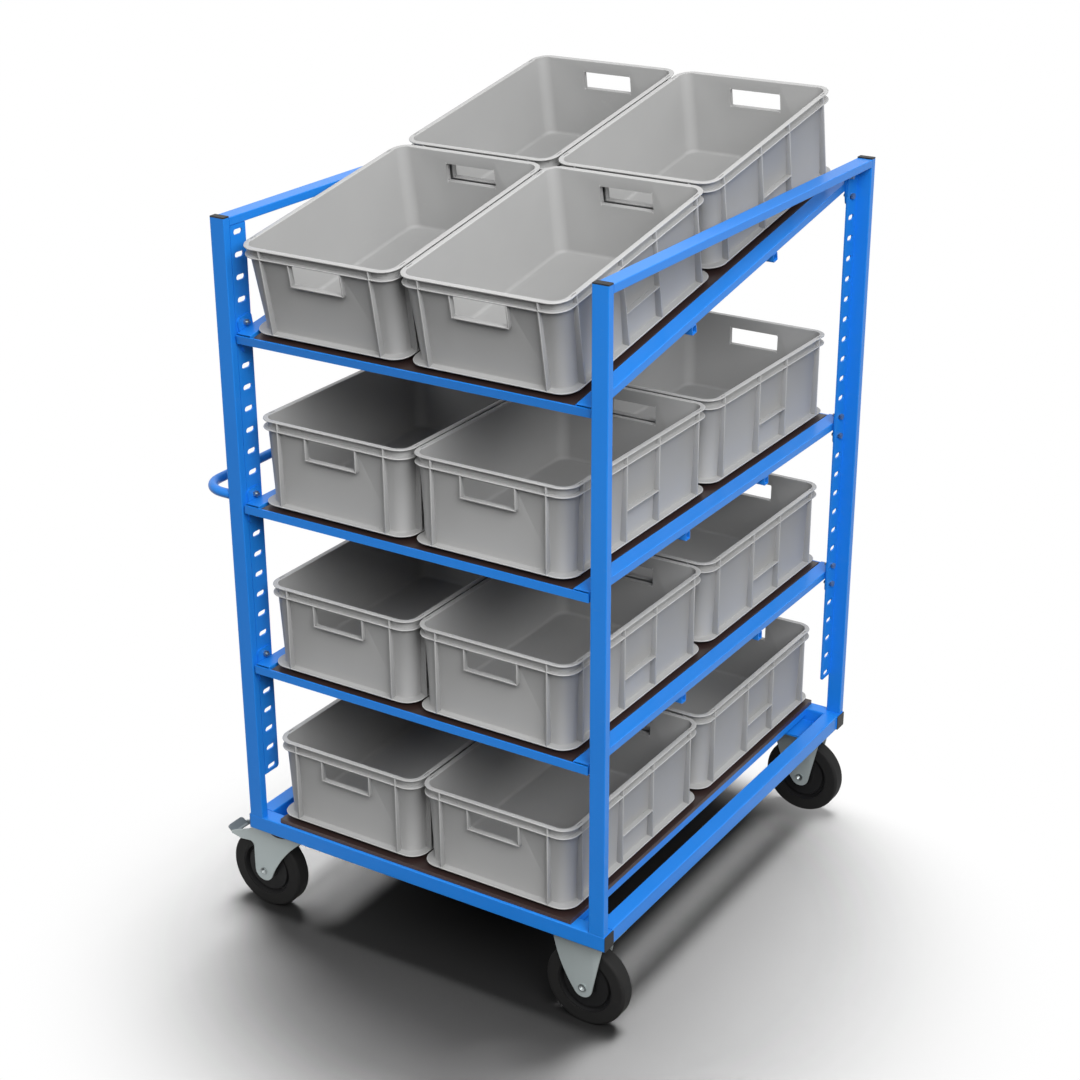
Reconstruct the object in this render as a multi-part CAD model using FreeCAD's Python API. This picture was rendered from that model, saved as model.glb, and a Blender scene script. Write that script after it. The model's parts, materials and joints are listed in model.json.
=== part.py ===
import FreeCAD, Part
import math
import os

from FreeCAD import Vector

X_AXIS = Vector(1, 0, 0)
Y_AXIS = Vector(0, 1, 0)
Z_AXIS = Vector(0, 0, 1)

# Stacking crates, nominally 600 by 400, two by two on each level: they set the size of the frame.
crate_length = 596.0
crate_width = 397.0
crate_height = 207.0
crate_gap_x = 5.7
crate_gap_y = 10.2

# Overall frame: X runs along the front beam, Y to the back, Z up from the floor.
crate_side_room = 90.15
crate_end_room = 3.9
post_top_above_beam = 1486.0
castor_height = 235.0

# Tubes
beam_side = 38.0
beam_wall = 2.0
beam_corner_radius = 3.0
post_width = 38.0
post_depth = 19.0
post_wall = 1.5
post_corner_radius = 2.0
post_end_inset = 3.5
side_rail_width = 38.0
side_rail_height = 19.0
cross_tube_side = 19.0
angle_height = 19.0
angle_depth = 25.0
angle_thickness = 4.0
support_tube_side = 20.0

# Plastic end caps
cap_thickness = 1.5
post_cap_thickness = 3.0
cap_edge_radius = 0.8
plug_length = 15.0
plug_gap = 0.2

# Plywood decks
deck_side_gap = 5.5
deck_end_gap = 6.0
deck_thickness = 10.4
deck_corner_radius = 1.0
shelf_deck_thickness = 15.0
shelf_deck_edge_gap = 0.5

# Slotted strips on the posts
strip_thickness = 4.0
strip_width = 50.0
strip_corner_radius = 8.0
strip_top_gap = 0.3
slot_count = 27
slot_pitch = 49.5
slot_length = 28.0
slot_height = 12.0
lowest_slot_above_beam = 160.5
strip_below_lowest_slot = 14.0

# Shelf frames: the bolts take the listed slots of the front and the back strips.
shelf_bolt_inset = 39.5
rail_below_upper_bolt = 12.0
shelf_front_setback = 2.0
tab_thickness = 5.0
tab_width = 46.0
tab_margin = 15.0
tab_corner_radius = 10.0
cross_tube_place_shares = (0.345, 0.655)
shelf_slots = {"lower": (6, 6), "middle": (14, 14), "top": (22, 26)}

# Hex bolts with nuts for the shelves
bolt_radius = 4.0
bolt_hole_radius = 4.5
bolt_across_flats = 13.0
bolt_head_height = 5.5
nut_height = 6.5
bolt_end_length = 5.0

# Push handle
handle_tube_radius = 11.0
handle_wall = 2.0
handle_bend_radius = 62.0
handle_reach = 97.0
handle_above_beam = 852.0

# Castors: two fixed ones on the right, two swivelling ones on the left
fixed_castor_inset = 75.0
swivel_castor_inset = 62.0
castor_inset_y = 61.0
castor_trail = 55.0
castor_plate_length = 135.0
castor_plate_width = 106.0
castor_plate_thickness = 4.0
castor_plate_corner_radius = 8.0
castor_bolt_pitch_x = 105.0
castor_bolt_pitch_y = 78.0
castor_bolt_radius = 5.0
castor_bolt_gap = 0.5
castor_bolt_across_flats = 17.0
castor_bolt_head_height = 6.4
castor_bolt_engagement = 2.0
mounting_plate_length = 108.0
mounting_plate_width = 90.0
mounting_plate_thickness = 5.0

wheel_radius = 100.0
tyre_width = 40.0
tyre_edge_radius = 7.0
tyre_bead_radius = 69.0
hub_rim_width = 36.0
hub_rim_inner_radius = 66.0
hub_groove_width = 14.0
hub_groove_outer_radius = 63.0
hub_groove_inner_radius = 59.0
hub_disc_width = 28.0
hub_disc_radius = 56.0
hub_recess_width = 20.0
hub_recess_outer_radius = 27.0
hub_recess_inner_radius = 24.0
hub_boss_radius = 13.0
hub_boss_width = 50.0
axle_radius = 6.0
axle_running_gap = 0.05
axle_head_radius = 9.5
axle_head_height = 2.0
axle_dish_radius = 7.5
axle_dish_floor_radius = 2.5
axle_dish_depth = 5.0

cheek_thickness = 3.0
cheek_inner_gap = 54.0
fork_tip_radius = 26.0
bracket_tip_radius = 24.0
bracket_left_reach = 80.0
bracket_right_reach = 52.0
bracket_left_bulge_reach = 62.0
bracket_left_bulge_rise = 60.0
bracket_left_crease_reach = 19.4
bracket_right_crease_reach = 26.0
bracket_edge_end_angle = 210.0
bracket_left_wing_slope = 0.06
bracket_right_wing_slope = 0.11
fork_front_reach = 60.0
fork_waist_reach = 72.0
fork_waist_rise = 67.5
fork_edge_end_angle = -28.0
fork_crease_reach = 30.0
fork_wing_slope = 0.04
fork_neck_rise = 61.0
fork_neck_radius = 12.0
fork_horn_reach = 95.0
fork_horn_tip_rise = 76.0
fork_horn_tip_height = 6.0
fork_horn_belly_reach = 66.0
fork_horn_belly_rise = 70.0
fork_horn_shoulder_reach = 42.0
fork_horn_shoulder_rise = 104.0
fork_back_reach = castor_trail + fork_tip_radius
fork_crown_thickness = 5.0
bearing_radius = 42.0
bearing_height = 17.0
bearing_edge_radius = 3.0
bearing_seat_gap = 0.3
king_pin_radius = 8.0
king_pin_running_gap = 0.05
king_pin_head_radius = 13.0
king_pin_head_height = 3.0

# Brake pedals on the swivel forks
pedal_pivot_back = 4.0
pedal_pivot_above_axle = 89.0
pedal_arm_thickness = 3.0
pedal_arm_root_radius = 14.0
pedal_arm_reach = 90.0
pedal_arm_tip_height = 8.0
pedal_side_gap = 0.5
pedal_pin_radius = 4.0
pedal_pin_running_gap = 0.05
pedal_plate_thickness = 3.0
pedal_plate_floor = 9.0
pedal_lip_reach = 18.0
pedal_lip_height = 11.0
pedal_lip_corner_radius = 9.0

# Crate details
crate_block_shift_x = -8.3
crate_block_shift_y = 11.2
crate_seat_gap = 0.3
crate_corner_radius = 40.0
crate_wall_corner_radius = 30.0
crate_wall_inset_bottom = 16.5
crate_wall_inset_top = 9.5
crate_wall = 2.5
crate_floor = 3.0
crate_foot_inset = 27.0
crate_foot_height = 9.2
crate_foot_rim = 14.0
crate_flange_thickness = 3.0
crate_ledge_depth = 19.8
crate_rib_thickness = 3.0
crate_end_rib_place_share = 0.71
crate_side_rib_place_shares = (0.23, 0.812)
crate_side_cross_rib_height = 81.7
grip_frame_width = 137.0
grip_frame_height = 50.7
grip_frame_thickness = 3.0
grip_corner_radius = 4.0

# Derived sizes and places, measured from the frame's left end, front face and beam underside
crate_pitch_x = crate_width + crate_gap_x
crate_pitch_y = crate_length + crate_gap_y
crate_base_flange_top = crate_foot_height + crate_flange_thickness
crate_rim_bottom = crate_height - crate_flange_thickness
crate_ledge_top = crate_height - crate_ledge_depth
crate_ledge_bottom = crate_ledge_top - crate_flange_thickness
grip_frame_bottom = crate_ledge_bottom - grip_frame_height
frame_width = crate_width + crate_pitch_x + 2 * crate_side_room
frame_depth = crate_length + crate_pitch_y + 2 * crate_end_room
post_bottom = beam_side
post_top = post_top_above_beam - post_cap_thickness
post_inner_left = post_end_inset + post_width
rail_bottom = post_top - post_depth
slot_front_y = post_depth + strip_width / 2
shelf_bolt_span = frame_depth - 2 * shelf_bolt_inset
deck_left = post_inner_left + tab_thickness + side_rail_width + deck_side_gap
deck_width = frame_width - 2 * deck_left
axle_z = wheel_radius - castor_height
swivel_x = swivel_castor_inset
fixed_x = frame_width - fixed_castor_inset
castor_ys = (castor_inset_y, frame_depth - castor_inset_y)
frame_centre = Vector(frame_width / 2, frame_depth / 2, 0)


def slot_z(index):
    return lowest_slot_above_beam + index * slot_pitch


def box(low, high):
    low = Vector(*low)
    high = Vector(*high)
    size = high - low
    return Part.makeBox(size.x, size.y, size.z, low)


def rounded_outline(width, length, radius, z, centre=(0, 0)):
    """Closed wire of a rounded rectangle, width along X and length along Y."""
    half_w = width / 2
    half_l = length / 2
    corners = ((1, 1), (-1, 1), (-1, -1), (1, -1))
    diagonal = radius * (1 - math.sqrt(0.5))
    edges = []
    previous = None
    first = None
    for sign_x, sign_y in corners:
        corner_x = centre[0] + sign_x * half_w
        corner_y = centre[1] + sign_y * half_l
        on_side = Vector(corner_x, corner_y - sign_y * radius, z)
        on_end = Vector(corner_x - sign_x * radius, corner_y, z)
        middle = Vector(corner_x - sign_x * diagonal, corner_y - sign_y * diagonal, z)
        start, end = (on_side, on_end) if sign_x == sign_y else (on_end, on_side)
        if previous is None:
            first = start
        else:
            edges.append(Part.makeLine(previous, start))
        edges.append(Part.Arc(start, middle, end).toShape())
        previous = end
    edges.append(Part.makeLine(previous, first))
    return Part.Wire(edges)


def rounded_plate(width, length, height, radius, z, centre=(0, 0)):
    face = Part.Face(rounded_outline(width, length, radius, z, centre))
    return face.extrude(Vector(0, 0, height))


def tube(width, depth, length, wall, radius):
    """Rectangular tube along +Z from the origin, width on X and depth on Y."""
    outer = rounded_plate(width, depth, length, radius, 0)
    bore = rounded_plate(width - 2 * wall, depth - 2 * wall, length, radius - wall / 2, 0)
    return outer.cut(bore)


def along(shape, axis, start):
    """Turn a shape drawn along +Z to run along X or Y, then move it to its start."""
    turned = shape.copy()
    if axis == "X":
        turned.rotate(Vector(0, 0, 0), Y_AXIS, 90)
    elif axis == "Y":
        turned.rotate(Vector(0, 0, 0), X_AXIS, -90)
    turned.translate(Vector(*start))
    return turned


def mirrored_back(shape):
    return shape.mirror(frame_centre, Y_AXIS)


def mirrored_right(shape):
    return shape.mirror(frame_centre, X_AXIS)


def group(shapes):
    solids = [solid for shape in shapes for solid in shape.Solids]
    return solids[0] if len(solids) == 1 else Part.makeCompound(solids)


def hex_prism(across_flats, height, start, axis):
    radius = across_flats / math.sqrt(3)
    points = []
    for corner in range(6):
        angle = math.pi / 3 * corner
        points.append(Vector(radius * math.cos(angle), radius * math.sin(angle), 0))
    prism = Part.Face(Part.makePolygon(points + points[:1])).extrude(Vector(0, 0, height))
    return along(prism, axis, start)


def beams():
    """Square base tubes: front and back ones run the full width, side ones between them."""
    centre = beam_side / 2
    wide = tube(beam_side, beam_side, frame_width - 2 * cap_thickness, beam_wall, beam_corner_radius)
    front = along(wide, "X", (cap_thickness, centre, centre))
    deep = tube(beam_side, beam_side, frame_depth - 2 * beam_side, beam_wall, beam_corner_radius)
    left = along(deep, "Y", (post_end_inset + centre, beam_side, centre))
    return front, mirrored_back(front), left, mirrored_right(left)


def posts():
    height = post_top - post_bottom
    post = tube(post_width, post_depth, height, post_wall, post_corner_radius)
    post.translate(Vector(post_end_inset + post_width / 2, post_depth / 2, post_bottom))
    right = mirrored_right(post)
    return post, right, mirrored_back(post), mirrored_back(right)


def top_rails():
    length = frame_depth - 2 * post_depth
    rail = tube(post_width, post_depth, length, post_wall, post_corner_radius)
    start = (post_end_inset + post_width / 2, post_depth, post_top - post_depth / 2)
    left = along(rail, "Y", start)
    return left, mirrored_right(left)


def end_cap(width, depth, thickness, wall, radius):
    """Cap plate from the origin up with a plug below it that enters the tube."""
    plate = rounded_plate(width, depth, thickness, radius, 0)
    rim = [edge for edge in plate.Edges if edge.BoundBox.ZMin > thickness / 2]
    plate = plate.makeFillet(cap_edge_radius, rim)
    inset = 2 * (wall + plug_gap)
    plug = rounded_plate(width - inset, depth - inset, plug_length, radius - wall / 2, -plug_length)
    return plate.fuse(plug).removeSplitter()


def tube_end_caps():
    beam_cap = end_cap(beam_side, beam_side, cap_thickness, beam_wall, beam_corner_radius)
    centre = beam_side / 2
    right_cap = along(beam_cap, "X", (frame_width - cap_thickness, centre, centre))
    post_cap = end_cap(post_width, post_depth, post_cap_thickness, post_wall, post_corner_radius)
    post_cap.translate(Vector(post_end_inset + post_width / 2, post_depth / 2, post_top))
    caps = []
    for cap in (right_cap, post_cap):
        for side in (cap, mirrored_right(cap)):
            caps.append(side)
            caps.append(mirrored_back(side))
    return group(caps)


def slotted_strip():
    """Left front strip: a flat bar behind the post, flush with the post's inner face."""
    bottom = lowest_slot_above_beam - strip_below_lowest_slot
    top = rail_bottom - strip_top_gap
    outer_x = post_inner_left - strip_thickness
    front = post_depth
    strip = box((outer_x, front, bottom), (post_inner_left, front + strip_width, top))
    corner = [
        edge
        for edge in strip.Edges
        if edge.BoundBox.ZMax < bottom + strip_top_gap
        and edge.BoundBox.YMin > front + strip_width / 2
    ]
    strip = strip.makeFillet(strip_corner_radius, corner)
    half = (slot_length - slot_height) / 2
    cutters = []
    for index in range(slot_count):
        z = slot_z(index)
        for offset in (-half, half):
            start = Vector(outer_x, slot_front_y + offset, z)
            cutters.append(Part.makeCylinder(slot_height / 2, strip_thickness, start, X_AXIS))
        low = (outer_x, slot_front_y - half, z - slot_height / 2)
        high = (post_inner_left, slot_front_y + half, z + slot_height / 2)
        cutters.append(box(low, high))
    return strip.cut(cutters).removeSplitter()


def deck_support_rails():
    length = frame_depth - 2 * beam_side
    rail = tube(support_tube_side, support_tube_side, length, post_wall, post_corner_radius)
    start = (deck_left + support_tube_side / 2, beam_side, beam_side - support_tube_side / 2)
    left = along(rail, "Y", start)
    return group([left, mirrored_right(left)])


def castor_mounting_plates():
    """Flat plates welded into the base corners, flush with the undersides of the beams."""
    low = (post_inner_left, beam_side, 0)
    high = (low[0] + mounting_plate_length, low[1] + mounting_plate_width, mounting_plate_thickness)
    plate = box(low, high)
    right = mirrored_right(plate)
    return group([plate, right, mirrored_back(plate), mirrored_back(right)])


def push_handle():
    """Round tube bent to a U, its legs square on the outer faces of the left posts."""
    z = handle_above_beam
    front_y = post_depth / 2
    back_y = frame_depth - front_y
    run_x = post_end_inset - handle_reach + handle_tube_radius
    bend = handle_bend_radius
    sagitta = bend * (1 - math.sqrt(0.5))
    front_bend = Part.Arc(
        Vector(run_x + bend, front_y, z),
        Vector(run_x + sagitta, front_y + sagitta, z),
        Vector(run_x, front_y + bend, z),
    )
    back_bend = Part.Arc(
        Vector(run_x, back_y - bend, z),
        Vector(run_x + sagitta, back_y - sagitta, z),
        Vector(run_x + bend, back_y, z),
    )
    path = Part.Wire(
        [
            Part.makeLine(Vector(post_end_inset, front_y, z), Vector(run_x + bend, front_y, z)),
            front_bend.toShape(),
            Part.makeLine(Vector(run_x, front_y + bend, z), Vector(run_x, back_y - bend, z)),
            back_bend.toShape(),
            Part.makeLine(Vector(run_x + bend, back_y, z), Vector(post_end_inset, back_y, z)),
        ]
    )
    start = Vector(post_end_inset, front_y, z)
    pipes = []
    for radius in (handle_tube_radius, handle_tube_radius - handle_wall):
        ring = Part.Wire([Part.makeCircle(radius, start, X_AXIS)])
        pipes.append(path.makePipeShell([ring], True, False))
    return pipes[0].cut(pipes[1])


def shelf_tilt(name):
    front_slot, back_slot = shelf_slots[name]
    rise = slot_z(back_slot) - slot_z(front_slot)
    return math.degrees(math.asin(rise / shelf_bolt_span))


def place_on_shelf(shape, name):
    """Carry a shape drawn on a level shelf, with its upper bolt axis at Z = 0, to its slots."""
    front_slot, back_slot = shelf_slots[name]
    middle_z = (slot_z(front_slot) + slot_z(back_slot)) / 2
    placed = shape.copy()
    lower_bolt_swing = slot_pitch / 2 * math.sin(math.radians(shelf_tilt(name)))
    placed.translate(Vector(0, -lower_bolt_swing, middle_z))
    pivot = Vector(0, frame_depth / 2 - lower_bolt_swing, middle_z)
    placed.rotate(pivot, X_AXIS, shelf_tilt(name))
    return placed


def shelf_deck_bottom():
    """Underside of a shelf deck and of the side rails, below the upper bolt axis."""
    return -rail_below_upper_bolt - side_rail_height


def shelf_bolt_places():
    places = []
    for y in (shelf_bolt_inset, frame_depth - shelf_bolt_inset):
        for z in (0, -slot_pitch):
            places.append((y, z))
    return places


def shelf_tab():
    """Left front tab: upright plate between the strip and the side rail, with two bolt holes."""
    front = shelf_bolt_inset
    low = (post_inner_left, front - tab_width / 2, -slot_pitch - tab_margin)
    high = (post_inner_left + tab_thickness, front + tab_width / 2, tab_margin)
    tab = box(low, high)
    corners = [edge for edge in tab.Edges if edge.BoundBox.XLength > tab_thickness / 2]
    tab = tab.makeFillet(tab_corner_radius, corners)
    for z in (0, -slot_pitch):
        start = Vector(post_inner_left, front, z)
        tab = tab.cut(Part.makeCylinder(bolt_hole_radius, tab_thickness, start, X_AXIS))
    return tab


def shelf_angle(left, right):
    """Front angle bar: an upright leg at the front edge and a leg under the deck."""
    front = shelf_front_setback
    ledge = shelf_deck_bottom()
    bottom = ledge - angle_thickness
    upright = box((left, front, bottom), (right, front + angle_thickness, bottom + angle_height))
    leg = box((left, front, bottom), (right, front + angle_depth, ledge))
    return upright.fuse(leg).removeSplitter()


def shelf_frame(name):
    """Welded frame: two flat side rails on two cross tubes, an angle bar at each end, four tabs."""
    ledge = shelf_deck_bottom()
    left = post_inner_left + tab_thickness
    right = frame_width - left
    rail_front = shelf_front_setback + angle_thickness
    rail_length = frame_depth - 2 * rail_front
    side = tube(side_rail_width, side_rail_height, rail_length, post_wall, post_corner_radius)
    start = (left + side_rail_width / 2, rail_front, ledge + side_rail_height / 2)
    left_rail = along(side, "Y", start)
    angle = shelf_angle(left, right)
    pieces = [left_rail, mirrored_right(left_rail), angle, mirrored_back(angle)]
    cross = tube(cross_tube_side, cross_tube_side, right - left, post_wall, post_corner_radius)
    for share in cross_tube_place_shares:
        pieces.append(along(cross, "X", (left, share * frame_depth, ledge - cross_tube_side / 2)))
    tab = shelf_tab()
    for corner in (tab, mirrored_back(tab)):
        pieces.append(corner)
        pieces.append(mirrored_right(corner))
    return place_on_shelf(group(pieces), name)


def deck_plate(bottom, front, thickness):
    centre = (frame_width / 2, frame_depth / 2)
    length = frame_depth - 2 * front
    return rounded_plate(deck_width, length, thickness, deck_corner_radius, bottom, centre)


def base_deck():
    return deck_plate(beam_side, deck_end_gap, deck_thickness)


def shelf_deck(name):
    front = shelf_front_setback + angle_thickness + shelf_deck_edge_gap
    return place_on_shelf(deck_plate(shelf_deck_bottom(), front, shelf_deck_thickness), name)


def shelf_bolt(y, z):
    """Left bolt with its head outside the strip and its nut inside the tab."""
    head_x = post_inner_left - strip_thickness
    nut_x = post_inner_left + tab_thickness
    end_x = nut_x + nut_height + bolt_end_length
    shank = Part.makeCylinder(bolt_radius, end_x - head_x, Vector(head_x, y, z), X_AXIS)
    head = hex_prism(bolt_across_flats, bolt_head_height, (head_x - bolt_head_height, y, z), "X")
    nut = hex_prism(bolt_across_flats, nut_height, (nut_x, y, z), "X")
    return shank.fuse([head, nut])


def shelf_bolts():
    bolts = []
    for name in shelf_slots:
        for y, z in shelf_bolt_places():
            bolt = place_on_shelf(shelf_bolt(y, z), name)
            bolts.append(bolt)
            bolts.append(mirrored_right(bolt))
    return group(bolts)


def revolved(points, centre, axis):
    """Solid of revolution from (radius, height) points about an axis through the centre."""
    outline = [Vector(radius, 0, height) for radius, height in points]
    face = Part.Face(Part.makePolygon(outline + outline[:1]))
    return along(face.revolve(Vector(0, 0, 0), Z_AXIS, 360), axis, centre)


def wheel_tyre(x, y):
    half = tyre_width / 2
    ring = revolved(
        [
            (tyre_bead_radius, -half),
            (tyre_bead_radius, half),
            (wheel_radius, half),
            (wheel_radius, -half),
        ],
        (x, y, axle_z),
        "Y",
    )
    tread_height = 2 * wheel_radius - tyre_edge_radius
    tread_edges = [edge for edge in ring.Edges if edge.BoundBox.ZLength > tread_height]
    shoulders = [edge for edge in tread_edges if edge.BoundBox.YLength < half]
    return ring.makeFillet(tyre_edge_radius, shoulders)


def wheel_hub(x, y):
    """Moulded wheel body: rim, groove, raised disc, recess and axle boss, the same on both sides."""
    bore = axle_radius + axle_running_gap
    upper = [
        (bore, hub_boss_width / 2),
        (hub_boss_radius, hub_boss_width / 2),
        (hub_boss_radius, hub_recess_width / 2),
        (hub_recess_inner_radius, hub_recess_width / 2),
        (hub_recess_outer_radius, hub_disc_width / 2),
        (hub_disc_radius, hub_disc_width / 2),
        (hub_groove_inner_radius, hub_groove_width / 2),
        (hub_groove_outer_radius, hub_groove_width / 2),
        (hub_rim_inner_radius, hub_rim_width / 2),
        (tyre_bead_radius, hub_rim_width / 2),
    ]
    lower = [(radius, -height) for radius, height in reversed(upper)]
    return revolved(upper + lower, (x, y, axle_z), "Y")


def axle(x, y):
    """Pin riveted across both cheeks, each end a low round head with a dished middle."""
    half = cheek_inner_gap / 2 + cheek_thickness
    end = half + axle_head_height
    upper = [
        (axle_radius, half),
        (axle_head_radius, half),
        (axle_head_radius, end),
        (axle_dish_radius, end),
        (axle_dish_floor_radius, end - axle_dish_depth),
        (0, end - axle_dish_depth),
    ]
    lower = [(radius, -height) for radius, height in reversed(upper)]
    return revolved(upper + lower, (x, y, axle_z), "Y")


def castor_plate(x, y):
    plate = rounded_plate(
        castor_plate_length,
        castor_plate_width,
        castor_plate_thickness,
        castor_plate_corner_radius,
        -castor_plate_thickness,
        (x, y),
    )
    for bolt_x, bolt_y in castor_bolt_places(x, y):
        start = Vector(bolt_x, bolt_y, -castor_plate_thickness)
        hole = Part.makeCylinder(castor_bolt_radius + castor_bolt_gap, castor_plate_thickness, start)
        plate = plate.cut(hole)
    return plate


def castor_bolt_places(x, y):
    places = []
    for sign_x in (-1, 1):
        for sign_y in (-1, 1):
            places.append((x + sign_x * castor_bolt_pitch_x / 2, y + sign_y * castor_bolt_pitch_y / 2))
    return places


def castor_bolt_shanks():
    """Shanks up through the castor plates and into the threads of the steel above."""
    shanks = []
    length = castor_plate_thickness + castor_bolt_engagement
    for x in (swivel_x, fixed_x):
        for y in castor_ys:
            for bolt_x, bolt_y in castor_bolt_places(x, y):
                start = Vector(bolt_x, bolt_y, -castor_plate_thickness)
                shanks.append(Part.makeCylinder(castor_bolt_radius, length, start))
    return shanks


def castor_bolts(shanks):
    bolts = []
    for shank in shanks:
        centre = shank.CenterOfMass
        start = (centre.x, centre.y, -castor_plate_thickness - castor_bolt_head_height)
        head = hex_prism(castor_bolt_across_flats, castor_bolt_head_height, start, "Z")
        bolts.append(head.fuse(shank))
    return group(bolts)


def cheek_pair(outline, tip_x, tip_radius, plan, y):
    """Two bent side plates: edges in X and Z bound them, and `plan` lists how far they step in along X."""
    outer = cheek_inner_gap / 2 + cheek_thickness
    start = (tip_x, -outer, axle_z)
    tip = along(Part.makeCylinder(tip_radius, outer), "Y", start)
    bore = along(Part.makeCylinder(axle_radius, outer), "Y", start)
    shadow = Part.Face(Part.Wire(outline)).extrude(Vector(0, -outer, 0)).fuse(tip).removeSplitter()
    bounds = shadow.BoundBox
    outside = [Vector(x, step - outer, bounds.ZMin) for x, step in plan]
    inside = [point + Vector(0, cheek_thickness, 0) for point in reversed(outside)]
    sheet = Part.Face(Part.makePolygon(outside + inside + outside[:1])).extrude(Vector(0, 0, bounds.ZLength))
    front = sheet.common(shadow).cut(bore)
    back = front.mirror(Vector(0, 0, 0), Y_AXIS)
    for cheek in (front, back):
        cheek.translate(Vector(0, y, 0))
    return [front, back]


def tangent_point(from_x, from_z, tip_x, tip_radius):
    """Point where the line from a place above touches the right side of the round tip."""
    run = from_x - tip_x
    rise = from_z - axle_z
    lean = math.acos(tip_radius / math.hypot(run, rise))
    return on_tip(tip_x, tip_radius, math.atan2(rise, run) - lean)


def on_tip(tip_x, tip_radius, angle):
    return Vector(tip_x + tip_radius * math.cos(angle), 0, axle_z + tip_radius * math.sin(angle))


def fixed_bracket(y):
    """Plate with two tapering cheeks for the fixed wheel, their wings creased towards the wheel."""
    x = fixed_x
    top = -castor_plate_thickness
    left = x - bracket_left_reach
    right = x + bracket_right_reach
    bulge = Vector(x - bracket_left_bulge_reach, 0, axle_z + bracket_left_bulge_rise)
    left_end = on_tip(x, bracket_tip_radius, math.radians(bracket_edge_end_angle))
    right_end = tangent_point(right, top, x, bracket_tip_radius)
    rest = [left_end, right_end, Vector(right, 0, top), Vector(left, 0, top)]
    outline = [Part.Arc(rest[-1], bulge, left_end).toShape()] + Part.makePolygon(rest).Edges
    plan = [
        (left, (bracket_left_reach - bracket_left_crease_reach) * bracket_left_wing_slope),
        (x - bracket_left_crease_reach, 0),
        (x + bracket_right_crease_reach, 0),
        (right, (bracket_right_reach - bracket_right_crease_reach) * bracket_right_wing_slope),
    ]
    body = castor_plate(x, y).fuse(cheek_pair(outline, x, bracket_tip_radius, plan, y))
    return body.removeSplitter()


def fork_top():
    return -castor_plate_thickness - bearing_height - bearing_seat_gap


def fork_outline(axle_x, crown_bottom):
    """Edges of a fork cheek: waisted front edge, straight back edge and a horn that holds the brake pedal."""
    back_x = axle_x - fork_tip_radius
    front_x = swivel_x + fork_front_reach
    neck_z = axle_z + fork_neck_rise
    horn_x = axle_x - fork_horn_reach
    horn_z = axle_z + fork_horn_tip_rise
    sagitta = fork_neck_radius * (1 - math.sqrt(0.5))
    neck = Vector(back_x - sagitta, 0, neck_z + fork_neck_radius - sagitta)
    waist = Vector(axle_x + fork_waist_reach, 0, axle_z + fork_waist_rise)
    front_end = on_tip(axle_x, fork_tip_radius, math.radians(fork_edge_end_angle))
    horn = [
        Vector(back_x - fork_neck_radius, 0, neck_z + fork_neck_radius),
        Vector(axle_x - fork_horn_belly_reach, 0, axle_z + fork_horn_belly_rise),
        Vector(horn_x, 0, horn_z),
        Vector(horn_x, 0, horn_z + fork_horn_tip_height),
        Vector(axle_x - fork_horn_shoulder_reach, 0, axle_z + fork_horn_shoulder_rise),
        Vector(back_x, 0, fork_top()),
        Vector(front_x, 0, fork_top()),
        Vector(front_x, 0, crown_bottom),
    ]
    back_edge = [front_end, Vector(back_x, 0, axle_z), Vector(back_x, 0, neck_z)]
    outline = Part.makePolygon(back_edge).Edges
    outline.append(Part.Arc(back_edge[-1], neck, horn[0]).toShape())
    outline += Part.makePolygon(horn).Edges
    outline.append(Part.Arc(horn[-1], waist, front_end).toShape())
    return outline


def swivel_fork(y):
    """Fork under the swivel bearing: flat crown, creased cheeks, axle set back by the trail."""
    axle_x = swivel_x - castor_trail
    crown_bottom = fork_top() - fork_crown_thickness
    crease_x = axle_x + fork_crease_reach
    front_x = swivel_x + fork_front_reach
    front = (front_x, (front_x - crease_x) * fork_wing_slope)
    plan = [(axle_x - fork_horn_reach, 0), (crease_x, 0), front]
    cheeks = cheek_pair(fork_outline(axle_x, crown_bottom), axle_x, fork_tip_radius, plan, y)
    near_y = y - cheek_inner_gap / 2
    crown_plan = [(swivel_x - fork_back_reach, 0)] + plan[1:]
    near = [Vector(x, near_y + step, crown_bottom) for x, step in crown_plan]
    far = [Vector(point.x, 2 * y - point.y, crown_bottom) for point in reversed(near)]
    crown = Part.Face(Part.makePolygon(near + far + near[:1])).extrude(Vector(0, 0, fork_crown_thickness))
    hole = Part.makeCylinder(
        king_pin_radius + king_pin_running_gap,
        fork_crown_thickness,
        Vector(swivel_x, y, crown_bottom),
    )
    pins = [pedal_pin(y, side) for side in (-1, 1)]
    return crown.cut(hole).fuse(cheeks + pins).removeSplitter()


def pedal_pivot():
    return swivel_x - castor_trail - pedal_pivot_back, axle_z + pedal_pivot_above_axle


def pedal_pin(y, side):
    """Stub pin on the inside of a cheek that carries one pedal arm."""
    x, z = pedal_pivot()
    length = pedal_arm_thickness + 2 * pedal_side_gap
    start = Vector(x, y + side * cheek_inner_gap / 2, z)
    return Part.makeCylinder(pedal_pin_radius, length, start, Y_AXIS * -side)


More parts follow.
